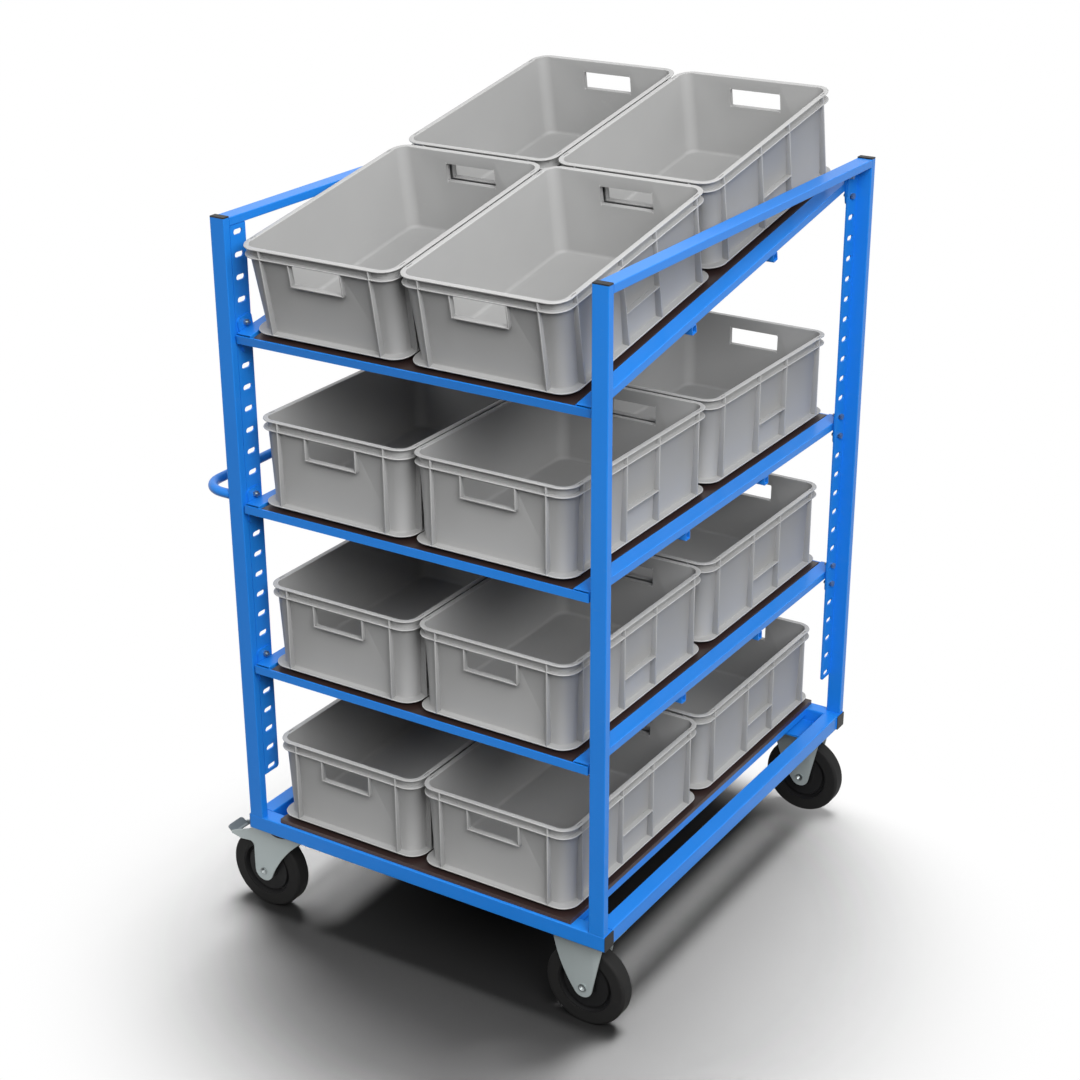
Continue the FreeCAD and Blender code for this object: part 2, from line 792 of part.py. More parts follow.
def pedal_arm(near_y):
    """Arm that tapers from a round eye about the pin to a low outer end."""
    pivot_x, pivot_z = pedal_pivot()
    tip_x = pivot_x - pedal_arm_reach
    low_z = pivot_z - pedal_arm_root_radius
    tip_z = low_z + pedal_arm_tip_height
    run = math.hypot(pedal_arm_reach, tip_z - pivot_z)
    lean = math.atan2(tip_z - pivot_z, -pedal_arm_reach) - math.acos(pedal_arm_root_radius / run)
    touch_x = pivot_x + pedal_arm_root_radius * math.cos(lean)
    touch_z = pivot_z + pedal_arm_root_radius * math.sin(lean)
    outline = [
        Vector(tip_x, near_y, low_z),
        Vector(pivot_x, near_y, low_z),
        Vector(pivot_x, near_y, pivot_z),
        Vector(touch_x, near_y, touch_z),
        Vector(tip_x, near_y, tip_z),
    ]
    depth = Vector(0, pedal_arm_thickness, 0)
    arm = Part.Face(Part.makePolygon(outline + outline[:1])).extrude(depth)
    start = (pivot_x, near_y, pivot_z)
    eye = along(Part.makeCylinder(pedal_arm_root_radius, pedal_arm_thickness), "Y", start)
    bore_radius = pedal_pin_radius + pedal_pin_running_gap
    bore = along(Part.makeCylinder(bore_radius, pedal_arm_thickness), "Y", start)
    return arm.fuse(eye).removeSplitter().cut(bore)


def pedal_plate(y, half_width):
    """Foot plate: a short floor between the arms that turns up to a rounded outer lip."""
    pivot_x, pivot_z = pedal_pivot()
    tip_x = pivot_x - pedal_arm_reach
    low_z = pivot_z - pedal_arm_root_radius
    high_z = low_z + pedal_plate_thickness
    start_y = y - half_width
    outline = [
        Vector(tip_x + pedal_plate_floor, start_y, low_z),
        Vector(tip_x, start_y, low_z),
        Vector(tip_x - pedal_lip_reach, start_y, low_z + pedal_lip_height),
        Vector(tip_x - pedal_lip_reach + pedal_plate_thickness, start_y, high_z + pedal_lip_height),
        Vector(tip_x + pedal_plate_thickness / 2, start_y, high_z),
        Vector(tip_x + pedal_plate_floor, start_y, high_z),
    ]
    plate = Part.Face(Part.makePolygon(outline + outline[:1])).extrude(Vector(0, 2 * half_width, 0))
    lip_middle = low_z + pedal_lip_height / 2
    corners = []
    for edge in plate.Edges:
        reach = edge.BoundBox
        if reach.YLength < half_width and reach.ZMin > lip_middle and reach.XLength < pedal_lip_reach / 2:
            corners.append(edge)
    return plate.makeFillet(pedal_lip_corner_radius, corners)


def brake_pedal(y):
    outer = cheek_inner_gap / 2 - pedal_side_gap
    inner = outer - pedal_arm_thickness
    arms = [pedal_arm(y - outer), pedal_arm(y + inner)]
    return pedal_plate(y, outer).fuse(arms).removeSplitter()


def swivel_bearing(y):
    """Ball race under the castor plate with the king pin that carries the fork."""
    top = -castor_plate_thickness
    race_bottom = top - bearing_height
    crown_bottom = fork_top() - fork_crown_thickness
    head_top = crown_bottom - bearing_seat_gap
    points = [
        (0, top),
        (bearing_radius - bearing_edge_radius, top),
        (bearing_radius, top - bearing_edge_radius),
        (bearing_radius, race_bottom + bearing_edge_radius),
        (bearing_radius - bearing_edge_radius, race_bottom),
        (king_pin_radius, race_bottom),
        (king_pin_radius, head_top),
        (king_pin_head_radius, head_top),
        (king_pin_head_radius, head_top - king_pin_head_height),
        (0, head_top - king_pin_head_height),
    ]
    return revolved(points, (swivel_x, y, 0), "Z")


def tapered_block(inset_bottom, inset_top, radius, bottom, top):
    wires = []
    for inset, z in ((inset_bottom, bottom), (inset_top, top)):
        wires.append(rounded_outline(crate_width - 2 * inset, crate_length - 2 * inset, radius, z))
    return Part.makeLoft(wires, True, True)


def crate():
    """Stacking crate standing on Z = 0 with flanges, ribs and two open hand grips."""
    half_w = crate_width / 2
    half_l = crate_length / 2
    body = tapered_block(
        crate_wall_inset_bottom,
        crate_wall_inset_top,
        crate_wall_corner_radius,
        crate_foot_height,
        crate_height,
    )
    pieces = []
    bands = (
        (crate_foot_height, crate_base_flange_top),
        (crate_ledge_bottom, crate_ledge_top),
        (crate_rim_bottom, crate_height),
    )
    for bottom, top in bands:
        pieces.append(rounded_plate(crate_width, crate_length, top - bottom, crate_corner_radius, bottom))
    foot_radius = crate_corner_radius - crate_foot_inset / 2
    foot_width = crate_width - 2 * crate_foot_inset
    foot_length = crate_length - 2 * crate_foot_inset
    pieces.append(rounded_plate(foot_width, foot_length, crate_foot_height, foot_radius, 0))
    low_z = crate_base_flange_top
    high_z = crate_ledge_bottom
    half_rib = crate_rib_thickness / 2
    for sign in (-1, 1):
        place = sign * crate_end_rib_place_share * half_w
        low = (place - half_rib, -half_l, low_z)
        pieces.append(box(low, (place + half_rib, half_l, crate_rim_bottom)))
        for share in crate_side_rib_place_shares:
            place = sign * share * half_l
            low = (-half_w, place - half_rib, low_z)
            pieces.append(box(low, (half_w, place + half_rib, crate_rim_bottom)))
    inner_rib = crate_side_rib_place_shares[0] * half_l
    cross_low = crate_side_cross_rib_height - half_rib
    cross_high = crate_side_cross_rib_height + half_rib
    pieces.append(box((-half_w, -inner_rib, cross_low), (half_w, inner_rib, cross_high)))
    half_grip = grip_frame_width / 2
    pieces.append(box((-half_grip, -half_l, grip_frame_bottom), (half_grip, half_l, high_z)))
    body = body.fuse(pieces)
    taper = crate_wall_inset_bottom - crate_wall_inset_top
    wall_height = crate_height - crate_foot_height
    floor_z = crate_foot_height + crate_floor
    inset_at_floor = crate_wall_inset_bottom - taper * crate_floor / wall_height + crate_wall
    cavity = tapered_block(
        inset_at_floor,
        crate_wall_inset_top + crate_wall,
        crate_wall_corner_radius - crate_wall,
        floor_z,
        crate_height,
    )
    pocket = rounded_plate(
        foot_width - 2 * crate_foot_rim,
        foot_length - 2 * crate_foot_rim,
        crate_foot_height,
        foot_radius,
        0,
    )
    half_opening = half_grip - grip_frame_thickness
    grip_bottom = grip_frame_bottom + grip_frame_thickness
    grip = box((-half_opening, -half_l, grip_bottom), (half_opening, half_l, crate_ledge_bottom))
    corners = [edge for edge in grip.Edges if edge.BoundBox.YLength > half_l]
    grip = grip.makeFillet(grip_corner_radius, corners)
    return body.cut([cavity, pocket, grip]).removeSplitter()


def crates():
    """Four crates on every level, each named by its level and its corner."""
    single = crate()
    placed = {}
    shift_x = frame_width / 2 + crate_block_shift_x
    shift_y = frame_depth / 2 + crate_block_shift_y
    for level in ("base",) + tuple(shelf_slots):
        for depth_name, sign_y in (("front", -1), ("back", 1)):
            for side_name, sign_x in (("left", -1), ("right", 1)):
                one = single.copy()
                x = shift_x + sign_x * crate_pitch_x / 2
                y = shift_y + sign_y * crate_pitch_y / 2
                if level == "base":
                    one.translate(Vector(x, y, beam_side + deck_thickness + crate_seat_gap))
                else:
                    one.translate(Vector(x, y, shelf_deck_bottom() + shelf_deck_thickness + crate_seat_gap))
                    one = place_on_shelf(one, level)
                placed["crate_%s_%s_%s" % (level, depth_name, side_name)] = one
    return placed


def build():
    nodes = {}
    nodes["front_beam"], nodes["back_beam"], nodes["left_beam"], nodes["right_beam"] = beams()
    post_names = ("front_left_post", "front_right_post", "back_left_post", "back_right_post")
    nodes.update(zip(post_names, posts()))
    nodes["left_top_rail"], nodes["right_top_rail"] = top_rails()
    nodes["tube_end_caps"] = tube_end_caps()
    strip = slotted_strip()
    left_strips = group([strip, mirrored_back(strip)])
    nodes["left_slotted_strips"] = left_strips
    nodes["right_slotted_strips"] = mirrored_right(left_strips)
    nodes["deck_support_rails"] = deck_support_rails()
    nodes["castor_mounting_plates"] = castor_mounting_plates()
    nodes["base_deck"] = base_deck()
    nodes["push_handle"] = push_handle()
    for name in shelf_slots:
        nodes[name + "_shelf_frame"] = shelf_frame(name)
        nodes[name + "_shelf_deck"] = shelf_deck(name)
    nodes["shelf_bolts"] = shelf_bolts()
    nodes["swivel_castor_plates"] = group([castor_plate(swivel_x, y) for y in castor_ys])
    nodes["swivel_bearings"] = group([swivel_bearing(y) for y in castor_ys])
    nodes["fixed_axles"] = group([axle(fixed_x, y) for y in castor_ys])
    shanks = castor_bolt_shanks()
    nodes["castor_bolts"] = castor_bolts(shanks)
    for name in ("front_beam", "back_beam", "left_beam", "right_beam", "castor_mounting_plates"):
        nodes[name] = group([nodes[name].cut(shanks)])
    for end, y in zip(("front", "back"), castor_ys):
        swivel_axle_x = swivel_x - castor_trail
        nodes["fixed_bracket_" + end] = fixed_bracket(y)
        nodes["swivel_fork_" + end] = swivel_fork(y)
        nodes["brake_pedal_" + end] = brake_pedal(y)
        nodes["swivel_axle_" + end] = axle(swivel_axle_x, y)
        for kind, x in (("fixed", fixed_x), ("swivel", swivel_axle_x)):
            nodes["%s_tyre_%s" % (kind, end)] = wheel_tyre(x, y)
            nodes["%s_hub_%s" % (kind, end)] = wheel_hub(x, y)
    nodes.update(crates())
    return nodes


def floor_centre(nodes):
    """Middle of the whole trolley's outline on the floor."""
    whole = Part.makeCompound(list(nodes.values())).optimalBoundingBox(False, False)
    return Vector((whole.XMin + whole.XMax) / 2, (whole.YMin + whole.YMax) / 2, -castor_height)


os.makedirs("parts", exist_ok=True)
trolley = build()
origin = floor_centre(trolley)
for node, shape in trolley.items():
    shape.translate(-origin)
    shape.exportStep("parts/%s.step" % node)
    print(node, len(shape.Solids), "solids, valid", shape.isValid())
print("origin", origin.x, origin.y, origin.z)
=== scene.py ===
# %% [markdown]
# # An order picking trolley
# The trolley is a welded steel frame on four castors, with plywood decks and sixteen stacking crates.
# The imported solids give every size. This lesson dresses them: the steel, the decks, the castors and the pedals
# keep their solids and get a real finish, and the crates are modelled again with thin flanges, ribs and soft edges.

# %% Load the trolley
import json
import math

import bmesh
import bpy
from mathutils import Matrix, Vector


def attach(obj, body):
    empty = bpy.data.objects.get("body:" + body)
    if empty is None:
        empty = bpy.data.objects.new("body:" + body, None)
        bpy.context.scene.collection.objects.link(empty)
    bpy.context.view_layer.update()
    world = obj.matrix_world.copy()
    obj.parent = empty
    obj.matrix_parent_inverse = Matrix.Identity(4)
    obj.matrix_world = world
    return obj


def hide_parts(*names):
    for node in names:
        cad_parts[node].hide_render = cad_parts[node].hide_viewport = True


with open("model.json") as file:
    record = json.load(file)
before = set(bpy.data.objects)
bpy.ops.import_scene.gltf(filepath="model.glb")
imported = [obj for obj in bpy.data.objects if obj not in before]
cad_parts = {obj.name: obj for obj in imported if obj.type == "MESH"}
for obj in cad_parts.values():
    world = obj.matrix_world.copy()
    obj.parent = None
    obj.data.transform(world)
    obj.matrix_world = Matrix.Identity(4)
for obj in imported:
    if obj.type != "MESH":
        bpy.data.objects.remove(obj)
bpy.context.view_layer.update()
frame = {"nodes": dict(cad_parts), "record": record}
nodes = frame["nodes"]
scene = bpy.context.scene
MM = 0.001

# %% [markdown]
# ## The camera
# The picture was taken from the front right, a little above the top shelf, with a long lens. The camera's place is
# measured from the front left lower corner of the base frame, because the corners of that frame are what was lined
# up with the picture. Framing by eye would be quicker, but the render could not be laid over the picture.

# %% Camera
SENSOR_WIDTH = 36.0
FOCAL_LENGTH = 69.97
FARTHEST_SEEN = 60.0
FROM_BASE_CORNER = Vector((2.8959, -3.2611, 2.6113))
CAMERA_DEGREES = (66.51517, 0.28009, 32.35021)


def lowest(name):
    """Smallest x, y and z of a solid."""
    places = [vert.co for vert in nodes[name].data.vertices]
    return Vector([min(place[axis] for place in places) for axis in range(3)])


front_beam = lowest("front_beam")
base_corner = Vector((lowest("tube_end_caps").x, front_beam.y, front_beam.z))
camera_data = bpy.data.cameras.new("studio_camera")
camera_data.sensor_width = SENSOR_WIDTH
camera_data.lens = FOCAL_LENGTH
camera_data.clip_end = FARTHEST_SEEN
camera = bpy.data.objects.new("studio_camera", camera_data)
camera.location = base_corner + FROM_BASE_CORNER
camera.rotation_euler = [math.radians(angle) for angle in CAMERA_DEGREES]
scene.collection.objects.link(camera)
scene.camera = camera
print("camera at", [round(v, 3) for v in camera.location])

# %% [markdown]
# ## Helpers for shader nodes
# Light and finishes are trees of small nodes. Linking each by hand is clear but long, so a few helpers do what
# repeats: one sets or links an input, one adds a Math node, and one picks a value by the kind of light ray. The
# last lets the camera see a plain white studio while the trolley is lit by something less even.

# %% Node helpers


def feed(tree, value, socket):
    """Link an output to the socket, or set a plain number or colour there."""
    if isinstance(value, bpy.types.NodeSocket):
        tree.links.new(value, socket)
    else:
        socket.default_value = (*value, 1) if isinstance(value, tuple) else value


def math_node(tree, operation, *values):
    node = tree.nodes.new("ShaderNodeMath")
    node.operation = operation
    for value, socket in zip(values, node.inputs):
        feed(tree, value, socket)
    return node.outputs[0]


def seen_by_camera(tree, plain, seen):
    """A value that is `seen` on camera, mirror and glass rays and `plain` on all others."""
    ray = tree.nodes.new("ShaderNodeLightPath").outputs
    direct = math_node(tree, "MAXIMUM", ray["Is Camera Ray"], ray["Is Glossy Ray"])
    direct = math_node(tree, "MAXIMUM", direct, ray["Is Transmission Ray"])
    mix = tree.nodes.new("ShaderNodeMix")
    feed(tree, direct, mix.inputs["Factor"])
    feed(tree, plain, mix.inputs["A"])
    feed(tree, seen, mix.inputs["B"])
    return mix.outputs["Result"]


print("node helpers", [helper.__name__ for helper in (feed, math_node, seen_by_camera)])

# %% [markdown]
# ## The light tent
# The trolley stands in a white tent: soft light comes from everywhere above, most of it from half way up. A single
# sun would give hard shadows on the crates, and an even dome no direction at all. So a colour ramp sets the light
# by the height of the direction that it comes from.

# %% Sky
# Each entry is the height of a direction, from 0 at the horizon to 1 straight up, and the light from there.
SKY_LIGHT = {0.4: 0.18, 0.63: 2.35, 0.85: 0.3, 1.0: 0.1}
SKY_SEEN = 1.0

scene.view_settings.view_transform = "Standard"
world = bpy.data.worlds.new("white_dome")
scene.world = world
world.use_nodes = True
dome = world.node_tree
direction = dome.nodes.new("ShaderNodeSeparateXYZ")
dome.links.new(dome.nodes.new("ShaderNodeTexCoord").outputs["Generated"], direction.inputs["Vector"])
sky = dome.nodes.new("ShaderNodeValToRGB")
while len(sky.color_ramp.elements) < len(SKY_LIGHT):
    sky.color_ramp.elements.new(0.5)
for stop, (height, strength) in zip(sky.color_ramp.elements, SKY_LIGHT.items()):
    stop.position = height
    stop.color = (strength, strength, strength, 1)
dome.links.new(direction.outputs["Z"], sky.inputs["Fac"])
background = dome.nodes["Background"]
background.inputs["Color"].default_value = (1, 1, 1, 1)
dome.links.new(seen_by_camera(dome, sky.outputs["Color"], SKY_SEEN), background.inputs["Strength"])
print("sky steps", len(sky.color_ramp.elements))

# %% [markdown]
# ## The floor
# The floor of the studio is white and dark only under the trolley. A white floor would throw light up under the
# decks, which the picture doesn't show, so the floor's own colour is nearly black and strong lamps light it. Beyond
# the shadow it fades to a white that glows for the camera alone.

# %% Floor
FLOOR_HALF = 20.0
FLOOR_PLAIN = 0.014
FLOOR_SEEN = 0.02
FADE_CENTRE = (0.15, -0.25, 0.0)
FADE_START = 0.66
FADE_END = 1.25

floor_material = bpy.data.materials.new("pale_floor")
floor_material.use_nodes = True
floor_tree = floor_material.node_tree
floor_tree.nodes.remove(floor_tree.nodes["Principled BSDF"])
floor_shader = floor_tree.nodes.new("ShaderNodeBsdfDiffuse")
floor_tree.links.new(seen_by_camera(floor_tree, FLOOR_PLAIN, FLOOR_SEEN), floor_shader.inputs["Color"])
white_shader = floor_tree.nodes.new("ShaderNodeEmission")
floor_tree.links.new(seen_by_camera(floor_tree, 0.0, 1.0), white_shader.inputs["Strength"])
away = floor_tree.nodes.new("ShaderNodeVectorMath")
away.operation = "DISTANCE"
away.inputs[1].default_value = FADE_CENTRE
floor_tree.links.new(floor_tree.nodes.new("ShaderNodeTexCoord").outputs["Object"], away.inputs[0])
fade = floor_tree.nodes.new("ShaderNodeMapRange")
fade.interpolation_type = "SMOOTHSTEP"
fade.inputs["From Min"].default_value = FADE_START
fade.inputs["From Max"].default_value = FADE_END
floor_tree.links.new(away.outputs["Value"], fade.inputs["Value"])
run_out = floor_tree.nodes.new("ShaderNodeMixShader")
floor_tree.links.new(fade.outputs["Result"], run_out.inputs["Fac"])
floor_tree.links.new(floor_shader.outputs[0], run_out.inputs[1])
floor_tree.links.new(white_shader.outputs[0], run_out.inputs[2])
floor_tree.links.new(run_out.outputs[0], floor_tree.nodes["Material Output"].inputs["Surface"])

floor_mesh = bpy.data.meshes.new("floor")
bm = bmesh.new()
bmesh.ops.create_grid(bm, x_segments=1, y_segments=1, size=FLOOR_HALF)
bm.to_mesh(floor_mesh)
bm.free()
floor = bpy.data.objects.new("floor", floor_mesh)
floor_mesh.materials.append(floor_material)
scene.collection.objects.link(floor)
print("floor", 2 * FLOOR_HALF, "m wide, white from", FADE_END, "m")

# %% [markdown]
# ## Softboxes
# A large softbox at the front right lifts the two near sides, and a weaker one at the back left lifts the far
# sides. The weak one is kept out of reflections, where it would draw pale streaks along the blue rails. The floor
# has two lamps of its own, linked to it alone, which lay the deep soft shadow towards the front. One lamp for
# everything would be simpler, but light that is strong enough for the floor would bleach the crates.

# %% Softboxes
TROLLEY_MIDDLE = (0, 0, 0.8)
FLOOR_MIDDLE = (0, 0, 0)


def area_lamp(name, place, aim, sizes, power):
    """Elliptical lamp at `place` that shines towards `aim`."""
    data = bpy.data.lights.new(name, "AREA")
    data.shape = "ELLIPSE"
    data.size, data.size_y = sizes
    data.energy = power
    lamp = bpy.data.objects.new(name, data)
    lamp.location = place
    lamp.rotation_euler = (Vector(aim) - Vector(place)).to_track_quat("-Z", "Y").to_euler()
    scene.collection.objects.link(lamp)
    return lamp


area_lamp("key_softbox", place=(3.9, -3.1, 5.0), aim=TROLLEY_MIDDLE, sizes=(4.4, 4.4), power=360)
fill_softbox = area_lamp(
    "fill_softbox", place=(-3.0, 3.3, 2.8), aim=TROLLEY_MIDDLE, sizes=(3.0, 3.0), power=80)
fill_softbox.visible_glossy = False
lit_by_floor_lamps = bpy.data.collections.new("lit_by_floor_lamps")
lit_by_floor_lamps.objects.link(floor)
for floor_lamp in (
    area_lamp("floor_softbox_back", place=(-0.3, 0.95, 4.2), aim=FLOOR_MIDDLE, sizes=(4.4, 2.6), power=12500),
    area_lamp("floor_softbox_top", place=(0.1, 0.1, 4.5), aim=FLOOR_MIDDLE, sizes=(2.5, 2.5), power=2500),
):
    floor_lamp.light_linking.receiver_collection = lit_by_floor_lamps
print("lamps", [lamp.name for lamp in bpy.data.lights])

# %% [markdown]
# ## Shared surface effects
# Several finishes need the same things: a fine skin that breaks up the gloss, a slow drift of tone over a large
# panel, and light scuffs from daily use. They could be painted as pictures, but noise needs no unwrapping and fits
# any size. Each is a node group with named inputs, built once and placed in every material with its own values.

# %% Node group helpers


def new_group(name, inputs, outputs):
    group = bpy.data.node_groups.new(name, "ShaderNodeTree")
    for label, default in inputs:
        socket = group.interface.new_socket(name=label, in_out="INPUT", socket_type="NodeSocketFloat")
        socket.default_value = default
    for label in outputs:
        group.interface.new_socket(name=label, in_out="OUTPUT", socket_type="NodeSocketFloat")
    return group, group.nodes.new("NodeGroupInput"), group.nodes.new("NodeGroupOutput")


def noise_node(group, vector, scale_socket, detail, roughness):
    node = group.nodes.new("ShaderNodeTexNoise")
    node.inputs["Detail"].default_value = detail
    node.inputs["Roughness"].default_value = roughness
    group.links.new(vector, node.inputs["Vector"])
    group.links.new(scale_socket, node.inputs["Scale"])
    return node.outputs["Fac"]


def map_range(tree, value, source=(0.0, 1.0), target=(0.0, 1.0)):
    """Stretch the range `source` of a value to the range `target`."""
    node = tree.nodes.new("ShaderNodeMapRange")
    node.inputs["From Min"].default_value, node.inputs["From Max"].default_value = source
    node.inputs["To Min"].default_value, node.inputs["To Max"].default_value = target
    tree.links.new(value, node.inputs["Value"])
    return node.outputs["Result"]


print("group helpers", [helper.__name__ for helper in (new_group, noise_node, map_range)])

# %% Fine skin and light scuffs
DRIFT_BAND = (0.3, 0.7)
SCRATCH_BAND = (0.58, 0.72)
PATCH_BAND = (0.45, 0.65)
SCRATCH_STRETCH = (1.0, 0.25, 2.0)
SCRATCH_TURN = (0.2, 0.3, 0.5)

skin_group, start, end = new_group(
    "fine_skin", [("Grain Scale", 900.0), ("Drift Scale", 3.0)], ["Grain", "Drift"])
place = skin_group.nodes.new("ShaderNodeTexCoord").outputs["Object"]
grain = noise_node(skin_group, place, start.outputs["Grain Scale"], detail=2.0, roughness=0.5)
drift = noise_node(skin_group, place, start.outputs["Drift Scale"], detail=3.0, roughness=0.55)
skin_group.links.new(grain, end.inputs["Grain"])
skin_group.links.new(map_range(skin_group, drift, DRIFT_BAND), end.inputs["Drift"])

scuff_group, start, end = new_group(
    "light_scuffs", [("Scratch Scale", 25.0), ("Patch Scale", 0.5)], ["Mask"])
place = scuff_group.nodes.new("ShaderNodeTexCoord").outputs["Object"]
stretch = scuff_group.nodes.new("ShaderNodeMapping")
stretch.inputs["Scale"].default_value = SCRATCH_STRETCH
stretch.inputs["Rotation"].default_value = SCRATCH_TURN
scuff_group.links.new(place, stretch.inputs["Vector"])
scratch = noise_node(
    scuff_group, stretch.outputs["Vector"], start.outputs["Scratch Scale"], detail=6.0, roughness=0.7)
patch = noise_node(scuff_group, place, start.outputs["Patch Scale"], detail=2.0, roughness=0.5)
lines = map_range(scuff_group, scratch, SCRATCH_BAND)
areas = map_range(scuff_group, patch, PATCH_BAND)
scuff_group.links.new(math_node(scuff_group, "MULTIPLY", lines, areas), end.inputs["Mask"])
print("node groups", [group.name for group in bpy.data.node_groups])

# %% [markdown]
# ## Finishes
# Each finish starts from the same recipe: a Principled shader, a base colour that drifts a little, a roughness that
# follows the scuffs, and a fine bump. A plain colour would do from afar, but it looks like a toy up close. What
# tells paint from plastic, zinc and rubber is the gloss, the grain and how much the tone moves.

# %% Material recipe
DRIFT_SCALE = 3.0
SCRATCH_SCALE = 28.0
PATCH_SCALE = 4.0
SCUFF_COLOUR_SHARE = 0.35
BUMP_DEPTH = 0.2 * MM


def use_group(tree, group, **values):
    node = tree.nodes.new("ShaderNodeGroup")
    node.node_tree = group
    for label, value in values.items():
        node.inputs[label.replace("_", " ")].default_value = value
    return node


def mix_colours(tree, factor, first, second):
    mix = tree.nodes.new("ShaderNodeMix")
    mix.data_type = "RGBA"
    feed(tree, factor, mix.inputs["Factor"])
    feed(tree, first, mix.inputs["A"])
    feed(tree, second, mix.inputs["B"])
    return mix.outputs["Result"]


def finish(name, light, dark, rough, worn_rough, grain_scale, bump, metallic=0.0, specular=0.3, scuff=None):
    material = bpy.data.materials.new(name)
    material.use_nodes = True
    tree = material.node_tree
    shader = tree.nodes["Principled BSDF"]
    shader.inputs["Metallic"].default_value = metallic
    shader.inputs["Specular IOR Level"].default_value = specular
    skin = use_group(tree, skin_group, Grain_Scale=grain_scale, Drift_Scale=DRIFT_SCALE)
    scuffs = use_group(tree, scuff_group, Scratch_Scale=SCRATCH_SCALE, Patch_Scale=PATCH_SCALE)
    colour = mix_colours(tree, skin.outputs["Drift"], light, dark)
    if scuff:
        faint = map_range(tree, scuffs.outputs["Mask"], target=(0.0, SCUFF_COLOUR_SHARE))
        colour = mix_colours(tree, faint, colour, scuff)
    tree.links.new(colour, shader.inputs["Base Color"])
    gloss = map_range(tree, scuffs.outputs["Mask"], target=(rough, worn_rough))
    tree.links.new(gloss, shader.inputs["Roughness"])
    relief = tree.nodes.new("ShaderNodeBump")
    relief.inputs["Strength"].default_value = bump
    relief.inputs["Distance"].default_value = BUMP_DEPTH
    tree.links.new(skin.outputs["Grain"], relief.inputs["Height"])
    tree.links.new(relief.outputs["Normal"], shader.inputs["Normal"])
    return material


print("scuffs cover up to", SCUFF_COLOUR_SHARE, "of a colour")

# %% [markdown]
# The steel is powder coated blue, and the castors and the small parts are zinc plated. Caps, hubs and crates are
# plastic and the tyres rubber. A table of recipes holds all of them, because finishes are easiest to compare side
# by side. The first two colours are the lighter and the darker end of the slow drift.

# %% Finishes
RECIPES = {
    "blue_paint": dict(
        light=(0.0145, 0.224, 0.755), dark=(0.012, 0.21, 0.72), rough=0.34, worn_rough=0.5,
        grain_scale=700.0, bump=0.06, scuff=(0.06, 0.25, 0.68)),
    "cap_plastic": dict(
        light=(0.016, 0.016, 0.017), dark=(0.012, 0.012, 0.013), rough=0.5, worn_rough=0.62,
        grain_scale=1200.0, bump=0.15),
    "zinc_steel": dict(
        light=(0.48, 0.545, 0.545), dark=(0.44, 0.49, 0.49), rough=0.42, worn_rough=0.55,
        grain_scale=260.0, bump=0.12, metallic=0.3),
    "pressed_pedal": dict(
        light=(0.235, 0.27, 0.285), dark=(0.205, 0.235, 0.25), rough=0.45, worn_rough=0.58,
        grain_scale=260.0, bump=0.12, metallic=0.3),
    "zinc_fasteners": dict(
        light=(0.42, 0.45, 0.45), dark=(0.33, 0.37, 0.37), rough=0.36, worn_rough=0.5,
        grain_scale=400.0, bump=0.1, metallic=0.95),
    "bearing_seal": dict(
        light=(0.015, 0.015, 0.015), dark=(0.02, 0.02, 0.02), rough=0.6, worn_rough=0.7,
        grain_scale=900.0, bump=0.2),
    "tyre_rubber": dict(
        light=(0.011, 0.011, 0.011), dark=(0.014, 0.0137, 0.0134), rough=0.72, worn_rough=0.85,
        grain_scale=500.0, bump=0.35, specular=0.2, scuff=(0.035, 0.033, 0.031)),
    "hub_plastic": dict(
        light=(0.010, 0.010, 0.011), dark=(0.014, 0.014, 0.014), rough=0.48, worn_rough=0.6,
        grain_scale=900.0, bump=0.2, specular=0.2),
    "crate_plastic": dict(
        light=(0.365, 0.365, 0.363), dark=(0.34, 0.34, 0.338), rough=0.5, worn_rough=0.62,
        grain_scale=1100.0, bump=0.18, scuff=(0.41, 0.41, 0.405)),
}
finishes = {name: finish(name, **recipe) for name, recipe in RECIPES.items()}
print("finishes", sorted(finishes))

# %% [markdown]
# ## Worn and highlit crate edges
# Handling rubs the crates pale along their edges, and so does the next crate that is set down on the rim. The same
# paler colour also paints the highlight that light lays along the rounded edges and the extra light on the rim's
# upward flat, so it is part wear and part painted highlight. The mesh says where: each face carries a number, 0 on
# a wall and more on a worn, highlit edge. Painting this by hand would not follow a change of shape, and a number on
# the faces does. The scuffs break the paler colour up.

# %% Worn crate edges and painted highlights
WEAR_AND_HIGHLIGHT = "wear_and_highlight"
# Paler colour of worn edges. It also paints the highlight along rounded edges and extra light on the rim's flat
# top.
WEAR_AND_HIGHLIGHT_COLOUR = (0.53, 0.53, 0.525)
WEAR_AND_HIGHLIGHT_SCRATCH_SCALE = 60.0
WEAR_AND_HIGHLIGHT_PATCH_SCALE = 9.0
WEAR_AND_HIGHLIGHT_IN_SCUFFS = 0.6


def wear_and_highlight_edges(material):
    tree = material.node_tree
    base_colour = tree.nodes["Principled BSDF"].inputs["Base Color"]
    plain = base_colour.links[0].from_socket
    wear_and_highlight = tree.nodes.new("ShaderNodeAttribute")
    wear_and_highlight.attribute_name = WEAR_AND_HIGHLIGHT
    scuffs = use_group(
        tree, scuff_group, Scratch_Scale=WEAR_AND_HIGHLIGHT_SCRATCH_SCALE, Patch_Scale=WEAR_AND_HIGHLIGHT_PATCH_SCALE)
    kept = map_range(tree, scuffs.outputs["Mask"], target=(1.0, WEAR_AND_HIGHLIGHT_IN_SCUFFS))
    share = math_node(tree, "MULTIPLY", wear_and_highlight.outputs["Fac"], kept)
    # Mix in the paler colour where the faces carry the number: wear, plus painted highlight and painted light.
    tree.links.new(mix_colours(tree, share, plain, WEAR_AND_HIGHLIGHT_COLOUR), base_colour)


